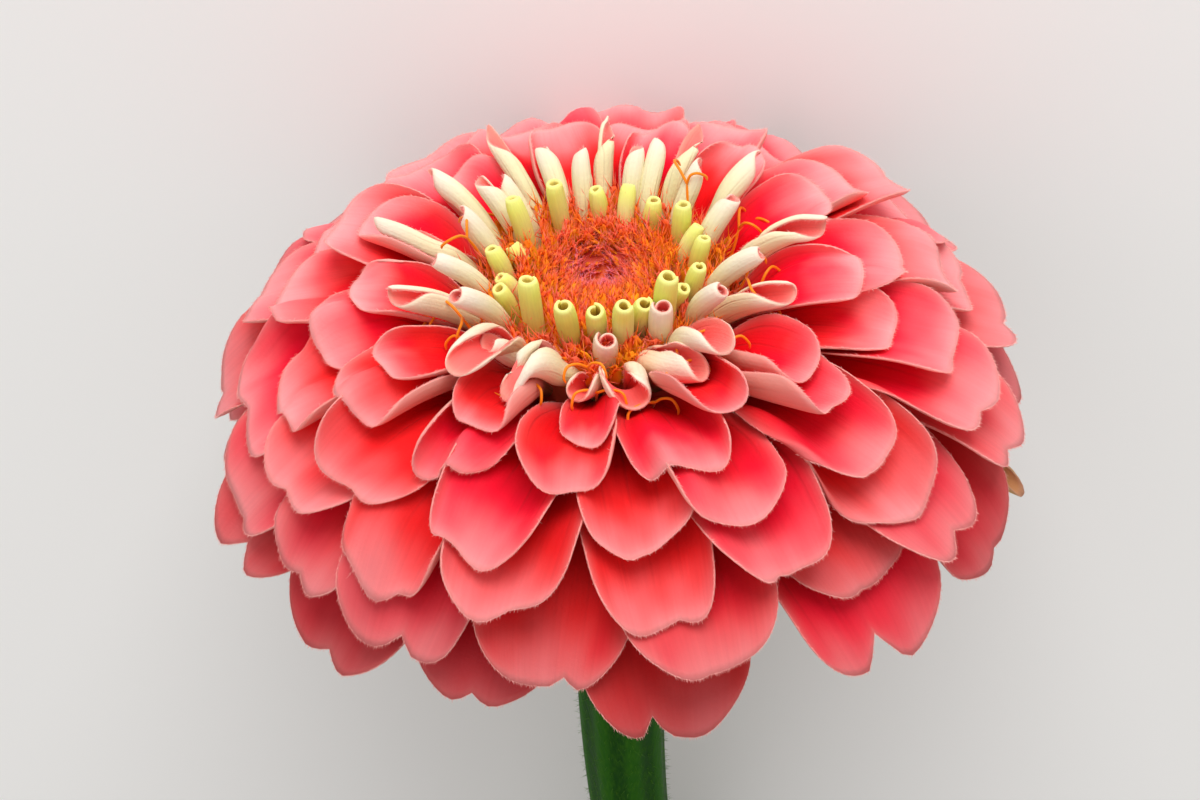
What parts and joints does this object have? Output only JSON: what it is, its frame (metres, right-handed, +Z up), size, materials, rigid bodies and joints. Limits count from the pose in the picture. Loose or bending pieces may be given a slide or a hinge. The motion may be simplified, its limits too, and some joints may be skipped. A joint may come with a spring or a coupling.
{
  "type": "zinnia flower",
  "caption": "Cut double zinnia lying on its side: layered coral ray petals, rolled cream rays, yellow-green quills, orange scaly disc, green bract cup and ribbed stem.",
  "frame": {"origin": "on the surface that the flower rests on, under the middle of its outline", "axes": "+Z up from the surface, -Y the way the bloom faces, +Y along the stem to its cut end"},
  "size_m": [0.092, 0.1497, 0.0851],
  "materials": {
    "stem_green": "satin, ribbed, finely hairy",
    "bract_green": "matte, dark margins",
    "petal_coral": "velvety, fine lengthwise veins, pale margin",
    "ray_cream": "velvety, rolled, coral inside",
    "quill_yellow_green": "satin",
    "disc_orange": "matte, fringed scales"
  },
  "bodies": {
    "root": {"stem": "stem_green", "bract_cup": "bract_green", "ray_petals": "petal_coral", "rolled_rays": "ray_cream", "green_quills": "quill_yellow_green", "disc": "disc_orange"}
  },
  "joints": []
}
